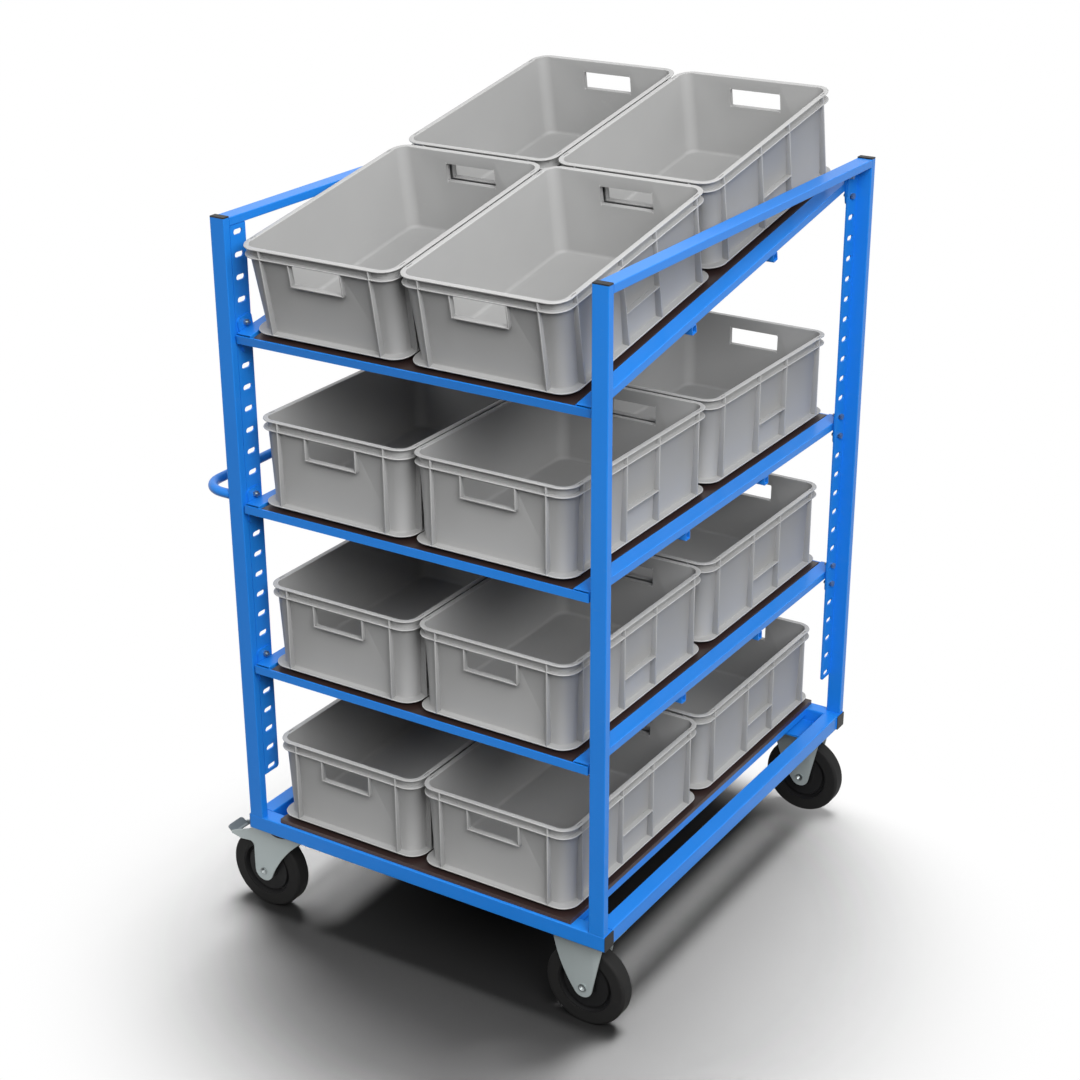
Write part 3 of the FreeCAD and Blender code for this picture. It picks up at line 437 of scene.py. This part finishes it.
wear_and_highlight_edges(finishes["crate_plastic"])
print("worn and highlit edges on", finishes["crate_plastic"].name)

# %% [markdown]
# ## Plywood decks
# The decks are film-faced plywood: a smooth dark brown film on both faces and bare layered veneer on the cut edges.
# Two materials on each deck would need its faces sorted, so one material tells face from edge by the direction
# that it faces. The layers run across the thickness, so the stripes follow the height. On the tilted shelf the
# pattern is turned by the shelf's own tilt.

# %% Plywood finish
TOP_SHELF_TILT = math.radians(10.083)
VENEER = 1.5 * MM
VENEER_BAND = (0.3 * VENEER, 0.7 * VENEER)
VENEER_LIGHT = (0.08, 0.044, 0.032)
VENEER_DARK = (0.035, 0.019, 0.016)
FACE_BAND = (0.4, 0.6)
FILM = dict(
    light=(0.034, 0.019, 0.017), dark=(0.026, 0.015, 0.014), rough=0.36, worn_rough=0.52,
    grain_scale=600.0, bump=0.12, specular=0.5, scuff=(0.09, 0.065, 0.055))


def veneer_layers(tree, tilt):
    """Colour of the cut edge: light and dark layers across the thickness."""
    turned = tree.nodes.new("ShaderNodeMapping")
    turned.inputs["Rotation"].default_value = (-tilt, 0, 0)
    tree.links.new(tree.nodes.new("ShaderNodeTexCoord").outputs["Object"], turned.inputs["Vector"])
    across = tree.nodes.new("ShaderNodeSeparateXYZ")
    tree.links.new(turned.outputs["Vector"], across.inputs["Vector"])
    layers = math_node(tree, "PINGPONG", across.outputs["Z"], VENEER)
    return mix_colours(tree, map_range(tree, layers, VENEER_BAND), VENEER_LIGHT, VENEER_DARK)


def on_film(tree, tilt):
    """1 on the two faces of the deck and 0 on its cut edges."""
    level = tree.nodes.new("ShaderNodeVectorRotate")
    level.rotation_type = "X_AXIS"
    level.inputs["Angle"].default_value = -tilt
    tree.links.new(tree.nodes.new("ShaderNodeNewGeometry").outputs["Normal"], level.inputs["Vector"])
    facing = tree.nodes.new("ShaderNodeSeparateXYZ")
    tree.links.new(level.outputs["Vector"], facing.inputs["Vector"])
    return map_range(tree, math_node(tree, "ABSOLUTE", facing.outputs["Z"]), FACE_BAND)


def film_plywood(name, tilt):
    material = finish(name, **FILM)
    tree = material.node_tree
    base_colour = tree.nodes["Principled BSDF"].inputs["Base Color"]
    film = base_colour.links[0].from_socket
    tree.links.new(mix_colours(tree, on_film(tree, tilt), veneer_layers(tree, tilt), film), base_colour)
    return material


finishes["film_plywood"] = film_plywood("film_plywood", 0.0)
tilted_plywood = film_plywood("film_plywood_tilted", TOP_SHELF_TILT)
print("plywood", finishes["film_plywood"].name, tilted_plywood.name)

# %% [markdown]
# ## Dressing the solids
# On the real trolley every piece is painted, plated or moulded before it is put together. The record names a finish
# for each solid, so one loop dresses them all, and a new piece needs no new line here. Two kinds differ from the
# record: the deck of the tilted shelf needs its turned pattern, and the pressed pedals are darker than the forks.

# %% Dress the solids
for part in frame["record"]["subparts"]:
    solid = nodes[part["node"]]
    solid.data.materials.clear()
    solid.data.materials.append(finishes[part["material_slot"]])
nodes["top_shelf_deck"].data.materials[0] = tilted_plywood
for pedal in ("brake_pedal_front", "brake_pedal_back"):
    nodes[pedal].data.materials[0] = finishes["pressed_pedal"]
print("dressed", len(nodes), "solids")

# %% [markdown]
# ## Stacking crates
# Every crate is one moulding: a thin drafted wall with a stacking foot, and three thin flanges round it, at the
# base, at the stacking ledge and at the rim. A rounded rectangle follows that section all the way round, so the
# shell is a stack of rounded loops bridged one to the next. A box with its edges bevelled would be quicker, but it
# has no undercut between ledge and rim.

# %% Crate sizes
CRATE_HALF_X = 198.5 * MM
CRATE_HALF_Y = 298 * MM
CRATE_HEIGHT = 207 * MM
FOOT_INSET = 27 * MM
FOOT_RIM = 14 * MM
FOOT_HEIGHT = 9.2 * MM
FLANGE = 3 * MM
FLANGE_TOP = FOOT_HEIGHT + FLANGE
LEDGE_DROP = 19.8 * MM
LEDGE_TOP = CRATE_HEIGHT - LEDGE_DROP
LEDGE_BOTTOM = LEDGE_TOP - FLANGE
RIM_BOTTOM = CRATE_HEIGHT - FLANGE
WALL = 2.5 * MM
WALL_INSET_LOW = 16.5 * MM
WALL_INSET_HIGH = 9.5 * MM


def wall_inset(z):
    """How far the drafted wall stands in from the flanges' edge at a height."""
    share = (z - FOOT_HEIGHT) / (CRATE_HEIGHT - FOOT_HEIGHT)
    return WALL_INSET_LOW + share * (WALL_INSET_HIGH - WALL_INSET_LOW)


crate_sizes = (2 * CRATE_HALF_X, 2 * CRATE_HALF_Y, CRATE_HEIGHT)
print("crate", [round(size / MM) for size in crate_sizes], "mm")

# %% [markdown]
# The section of the wall is drawn as points from the foot up the outside and down the inside. Moulded edges are
# never sharp, so each flange has broken corners, and the wall sweeps out into the flanges. Bevelling the finished
# shell would do this too, but it catches on thin flanges, and points give each edge its own size.

# %% Crate section
EDGE = 1.1 * MM
ROUND = 0.3
INNER_EDGE = 1.5 * EDGE
INNER_ROUND = 0.4
DRAFT = 0.25 * MM
SWEEP = 4 * MM
FLOOR_CORNER = 8 * MM
FLOOR_ARC = ((1, 0), (0.45, 0.12), (0.12, 0.45), (0, 1))
FLANGE_RADIUS = 40 * MM
WALL_RADIUS = 30 * MM
FLANGE_ZONE = 5 * MM


def flange_points(bottom, top):
    """Outer edge of a flange with both corners broken."""
    return [(EDGE, bottom), (ROUND * EDGE, bottom + ROUND * EDGE), (0, bottom + EDGE),
            (0, top - EDGE), (ROUND * EDGE, top - ROUND * EDGE), (EDGE, top)]


def foot_points():
    inner = FOOT_INSET + FOOT_RIM
    return [(inner + DRAFT, FOOT_HEIGHT - DRAFT), (inner, EDGE), (inner - EDGE, 0),
            (FOOT_INSET + EDGE, 0), (FOOT_INSET, EDGE), (FOOT_INSET, FOOT_HEIGHT - DRAFT)]


def wall_points(low, high):
    """Outside of the wall, swept out at both ends."""
    return [(wall_inset(low) - SWEEP, low), (wall_inset(low) - ROUND * SWEEP, low + ROUND * SWEEP),
            (wall_inset(low + SWEEP), low + SWEEP), (wall_inset(high - SWEEP), high - SWEEP),
            (wall_inset(high) - ROUND * SWEEP, high - ROUND * SWEEP), (wall_inset(high) - SWEEP, high)]


def inside_points():
    inner = wall_inset(CRATE_HEIGHT) + WALL
    points = [(inner - INNER_EDGE, CRATE_HEIGHT - DRAFT / 2),
              (inner - INNER_ROUND * EDGE, CRATE_HEIGHT - INNER_ROUND * EDGE),
              (inner, CRATE_HEIGHT - INNER_EDGE)]
    for rise, step in FLOOR_ARC:
        z = FOOT_HEIGHT + WALL + rise * FLOOR_CORNER
        points.append((wall_inset(z) + WALL + step * FLOOR_CORNER, z))
    return points


def crate_section():
    """(inset, height, corner radius) of every loop."""
    outside = foot_points() + flange_points(FOOT_HEIGHT, FLANGE_TOP)
    outside += wall_points(FLANGE_TOP + DRAFT, LEDGE_BOTTOM - DRAFT)
    outside += flange_points(LEDGE_BOTTOM, LEDGE_TOP)
    outside += [(wall_inset(LEDGE_TOP), LEDGE_TOP + DRAFT), (wall_inset(RIM_BOTTOM), RIM_BOTTOM - DRAFT)]
    outside += flange_points(RIM_BOTTOM, CRATE_HEIGHT)
    loops = [(inset, z, FLANGE_RADIUS if inset < FLANGE_ZONE else WALL_RADIUS) for inset, z in outside]
    return loops + [(inset, z, WALL_RADIUS - WALL) for inset, z in inside_points()]


print("crate section loops", len(crate_section()))

# %% [markdown]
# In the mould the plastic flows into one shell. A Screw or Curve object can carry a section round, but not with
# corner radii that differ between the flanges and the wall. So each point of the section becomes a rounded
# rectangle, a bridge joins it to the one before, and a face closes each end.

# %% Crate shell
CORNER_STEPS = 8
ROUND_BEVEL = dict(profile=0.5, material=-1)


def rounded_loop(bm, inset, z, radius):
    """Edges of one rounded rectangle: a square face, scaled, with its corners bevelled."""
    corners = bmesh.ops.create_grid(bm, x_segments=1, y_segments=1, size=1.0)["verts"]
    bmesh.ops.scale(bm, verts=corners, vec=(CRATE_HALF_X - inset, CRATE_HALF_Y - inset, 1))
    bmesh.ops.translate(bm, verts=corners, vec=(0, 0, z))
    cut = bmesh.ops.bevel(
        bm, geom=corners, offset=radius, segments=CORNER_STEPS, affect="VERTICES", **ROUND_BEVEL)
    edges = list(cut["verts"][0].link_faces[0].edges)
    bmesh.ops.delete(bm, geom=[edges[0].link_faces[0]], context="FACES_ONLY")
    return edges


def crate_shell(bm):
    previous = None
    for inset, z, radius in crate_section():
        edges = rounded_loop(bm, inset, z, radius)
        if previous is None:
            bottom = edges
        else:
            bmesh.ops.bridge_loops(bm, edges=previous + edges)
        previous = edges
    for ring in (bottom, previous):
        bmesh.ops.contextual_create(bm, geom=ring)
    bmesh.ops.recalc_face_normals(bm, faces=bm.faces)


crate = bmesh.new()
crate_shell(crate)
print("crate shell faces", len(crate.faces))

# %% [markdown]
# A hand grip is a hole through the end wall. A boolean cut would do it, but it leaves stray triangles in the wall.
# Instead four cuts score the outline of the grip into the outer and the inner face of the wall, the two scored
# faces are taken out and the two edge loops are bridged, which makes the sides of the hole.

# %% Crate grips
RIB = 3 * MM
GRIP_FRAME_HALF = 68.5 * MM
GRIP_FRAME_BOTTOM = 133.5 * MM
GRIP_HALF = GRIP_FRAME_HALF - RIB
GRIP_BOTTOM = GRIP_FRAME_BOTTOM + RIB
GRIP_TOP = 178.5 * MM
GRIP_CORNER = 4 * MM
GRIP_CORNER_STEPS = 4
END_WALL_ZONE = 30 * MM
WALL_FACE_HEIGHT = 12 * MM
SQUARE_ON = 0.9
SAME_PLACE = 1e-6


def score(bm, faces, point, normal):
    """Cut the faces along a plane, without taking anything away."""
    parts = set(faces)
    for face in faces:
        parts.update(face.edges)
        parts.update(face.verts)
    bmesh.ops.bisect_plane(bm, geom=list(parts), dist=SAME_PLACE, plane_co=point, plane_no=normal)


def end_wall_faces(bm, sign, half_width):
    """Tall faces of one end wall, outside and inside, whose middle is within the half width."""
    found = []
    for face in bm.faces:
        centre = face.calc_center_median()
        on_wall = centre.y * sign > CRATE_HALF_Y - END_WALL_ZONE and abs(face.normal.y) > SQUARE_ON
        heights = [vert.co.z for vert in face.verts]
        if on_wall and max(heights) - min(heights) > WALL_FACE_HEIGHT and abs(centre.x) < half_width:
            found.append(face)
    return found


def cut_grip(bm, sign):
    for x in (-GRIP_HALF, GRIP_HALF):
        score(bm, end_wall_faces(bm, sign, CRATE_HALF_X), (x, 0, 0), (1, 0, 0))
    for z in (GRIP_BOTTOM, GRIP_TOP):
        score(bm, end_wall_faces(bm, sign, GRIP_HALF), (0, 0, z), (0, 0, 1))
    scored = [face for face in end_wall_faces(bm, sign, GRIP_HALF)
              if GRIP_BOTTOM < face.calc_center_median().z < GRIP_TOP]
    rims = {edge for face in scored for edge in face.edges}
    bmesh.ops.delete(bm, geom=scored, context="FACES_ONLY")
    hole = bmesh.ops.bridge_loops(bm, edges=list(rims))
    across = {edge for face in hole["faces"] for edge in face.edges} - rims
    bmesh.ops.bevel(
        bm, geom=list(across), offset=GRIP_CORNER, segments=GRIP_CORNER_STEPS, affect="EDGES", **ROUND_BEVEL)


for sign in (-1, 1):
    cut_grip(crate, sign)
print("faces with grips", len(crate.faces))

# %% [markdown]
# Small drainage slots let water run off the rim. They are too shallow to be worth a hole, so they are scored into
# the flat of the rim the same way, and the scored faces are extruded downwards.

# %% Rim slots
RIM_ZONE = 15 * MM
RIM_SLOT_YS = (238 * MM, 256 * MM)
RIM_SLOT_INSETS = (4.5 * MM, 7 * MM)
RIM_SLOT_DEPTH = 2 * MM


def on_rim(face):
    return face.normal.z > SQUARE_ON and face.calc_center_median().z > CRATE_HEIGHT - EDGE


def side_rim_faces(bm, sign):
    return [face for face in bm.faces
            if on_rim(face) and face.calc_center_median().x * sign > CRATE_HALF_X - RIM_ZONE]


def sink_rim_slots(bm, sign):
    for inset in RIM_SLOT_INSETS:
        score(bm, side_rim_faces(bm, sign), (sign * (CRATE_HALF_X - inset), 0, 0), (1, 0, 0))
    for y in RIM_SLOT_YS:
        score(bm, side_rim_faces(bm, sign), (0, y, 0), (0, 1, 0))
        score(bm, side_rim_faces(bm, sign), (0, -y, 0), (0, 1, 0))
    near, far = (CRATE_HALF_X - inset for inset in RIM_SLOT_INSETS)
    slots = []
    for face in side_rim_faces(bm, sign):
        centre = face.calc_center_median()
        if far < centre.x * sign < near and RIM_SLOT_YS[0] < abs(centre.y) < RIM_SLOT_YS[1]:
            slots.append(face)
    sunk = bmesh.ops.extrude_discrete_faces(bm, faces=slots)
    verts = {vert for face in sunk["faces"] for vert in face.verts}
    bmesh.ops.translate(bm, verts=list(verts), vec=(0, 0, -RIM_SLOT_DEPTH))


for sign in (-1, 1):
    sink_rim_slots(crate, sign)
print("faces with rim slots", len(crate.faces))

# %% [markdown]
# Thin upright ribs stiffen the walls. They stand on the drafted wall and end flush with the flanges, so the inner
# edge of each bar leans with the wall. They run up past the stacking ledge to the rim, one short bar joins the
# middle pair on each long side, and three bars frame each grip. Drawing them into the shell would need many more
# loops, so each is a bevelled bar that is sunk a little into the wall.

# %% Wall bar
RIB_SETBACK = 0.4 * MM
DEEP_SETBACK = 1.5 * RIB_SETBACK
RIB_EMBED = 1.2 * MM
RIB_EDGE = 0.7 * MM
RIB_EDGE_STEPS = 2


def wall_bar(bm, outward, reach, along, low_z, high_z, setback=RIB_SETBACK):
    """Bar on the wall that faces `outward`, between two places along that wall and two heights."""
    outward = Vector(outward)
    side = Vector((0, 0, 1)).cross(outward)
    depth = wall_inset(low_z) + RIB_EMBED
    lean = wall_inset(low_z) - wall_inset(high_z)
    size = outward * (depth - setback) + side * (along[1] - along[0])
    verts = bmesh.ops.create_cube(bm, size=1.0)["verts"]
    bmesh.ops.scale(bm, verts=verts, vec=(abs(size.x), abs(size.y), high_z - low_z))
    upper_inner = [vert for vert in verts if vert.co.z > 0 and vert.co.dot(outward) < 0]
    bmesh.ops.translate(bm, verts=upper_inner, vec=outward * lean)
    centre = outward * (reach - (depth + setback) / 2) + side * (along[0] + along[1]) / 2
    centre.z = (low_z + high_z) / 2
    bmesh.ops.translate(bm, verts=verts, vec=centre)
    edges = {edge for vert in verts for edge in vert.link_edges}
    bmesh.ops.bevel(
        bm, geom=list(edges), offset=RIB_EDGE, segments=RIB_EDGE_STEPS, affect="EDGES", **ROUND_BEVEL)


print("ribs", round(RIB / MM, 1), "mm thick")

# %% Crate ribs
END_RIB_X = 141 * MM
SIDE_RIB_YS = (68.5 * MM, 242 * MM)
CROSS_RIB_Z = 81.7 * MM


def crate_ribs(bm, sign):
    low = FLANGE_TOP - EDGE
    high = RIM_BOTTOM + EDGE
    half = RIB / 2
    end = ((0, sign, 0), CRATE_HALF_Y)
    flank = ((sign, 0, 0), CRATE_HALF_X)
    for place in (-END_RIB_X, END_RIB_X):
        wall_bar(bm, *end, (place - half, place + half), low, high)
    for place in SIDE_RIB_YS:
        wall_bar(bm, *flank, (place - half, place + half), low, high)
        wall_bar(bm, *flank, (-place - half, -place + half), low, high)
    middle = SIDE_RIB_YS[0]
    wall_bar(bm, *flank, (-middle, middle), CROSS_RIB_Z - half, CROSS_RIB_Z + half, DEEP_SETBACK)
    ledge = LEDGE_BOTTOM + EDGE
    for sides in ((-GRIP_FRAME_HALF, -GRIP_HALF), (GRIP_HALF, GRIP_FRAME_HALF)):
        wall_bar(bm, *end, sides, GRIP_FRAME_BOTTOM + RIB_EDGE, ledge, DEEP_SETBACK)
    wall_bar(bm, *end, (-GRIP_FRAME_HALF, GRIP_FRAME_HALF), GRIP_FRAME_BOTTOM, GRIP_BOTTOM)


for sign in (-1, 1):
    crate_ribs(crate, sign)
print("faces with ribs", len(crate.faces))

# %% [markdown]
# The worn and highlit edges of the plastic need their numbers. The broken edges are narrow faces, so their width
# finds them, and they get the most: wear, and painted highlight where light catches the rounded edge. The flat of
# the rim gets a little less, as wear and painted light on a face that looks up. Picking faces by hand would have to
# be done again after each change of the ribs.

# %% Worn and highlit marks and finished mesh
NARROW = 1.3 * MM
EDGE_WEAR_AND_HIGHLIGHT = 0.75
RIM_WEAR_AND_HIGHLIGHT = 0.5
SMOOTH_ANGLE = math.radians(38)


def mark_wear_and_highlight(bm):
    wear_and_highlight = bm.faces.layers.float.new(WEAR_AND_HIGHLIGHT)
    for face in bm.faces:
        longest = max(edge.calc_length() for edge in face.edges)
        # Narrow broken edges: wear plus painted highlight. Rim flat: wear plus painted light on a face that looks
        # up.
        if face.calc_area() < NARROW * longest:
            face[wear_and_highlight] = EDGE_WEAR_AND_HIGHLIGHT
        elif on_rim(face):
            face[wear_and_highlight] = RIM_WEAR_AND_HIGHLIGHT


mark_wear_and_highlight(crate)
crate_mesh = bpy.data.meshes.new("moulded_crate")
crate.to_mesh(crate_mesh)
crate.free()
crate_mesh.shade_smooth()
crate_mesh.set_sharp_from_angle(angle=SMOOTH_ANGLE)
print("crate faces", len(crate_mesh.polygons))

# %% [markdown]
# ## Placing the crates
# All sixteen crates come from one mould, so one mesh is copied sixteen times. Each copy is carried to the seat of
# its solid. Typing the seats in would break when a size changes, so they are read off the solids: on the tilted
# shelf the solid is turned back level first, to find its lowest middle point.

# %% Place the crates
CRATE_SLOT = "crate_plastic"


def seat_of(name, turn):
    """Middle of the crate's underside, in the frame that is turned back level."""
    level = [turn.inverted() @ vert.co for vert in nodes[name].data.vertices]
    lows = [min(place[axis] for place in level) for axis in range(3)]
    highs = [max(place[axis] for place in level) for axis in range(3)]
    return Vector(((lows[0] + highs[0]) / 2, (lows[1] + highs[1]) / 2, lows[2]))


crate_nodes = sorted(name for name in nodes if name.startswith("crate_"))
for name in crate_nodes:
    turn = Matrix.Rotation(TOP_SHELF_TILT if "_top_" in name else 0.0, 4, "X")
    mesh = crate_mesh.copy()
    mesh.transform(turn @ Matrix.Translation(seat_of(name, turn)))
    mesh.materials.append(finishes[CRATE_SLOT])
    piece = bpy.data.objects.new("moulded_" + name, mesh)
    scene.collection.objects.link(piece)
    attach(piece, name)
    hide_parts(name)
print("crates", len(crate_nodes), "faces each", len(crate_mesh.polygons))
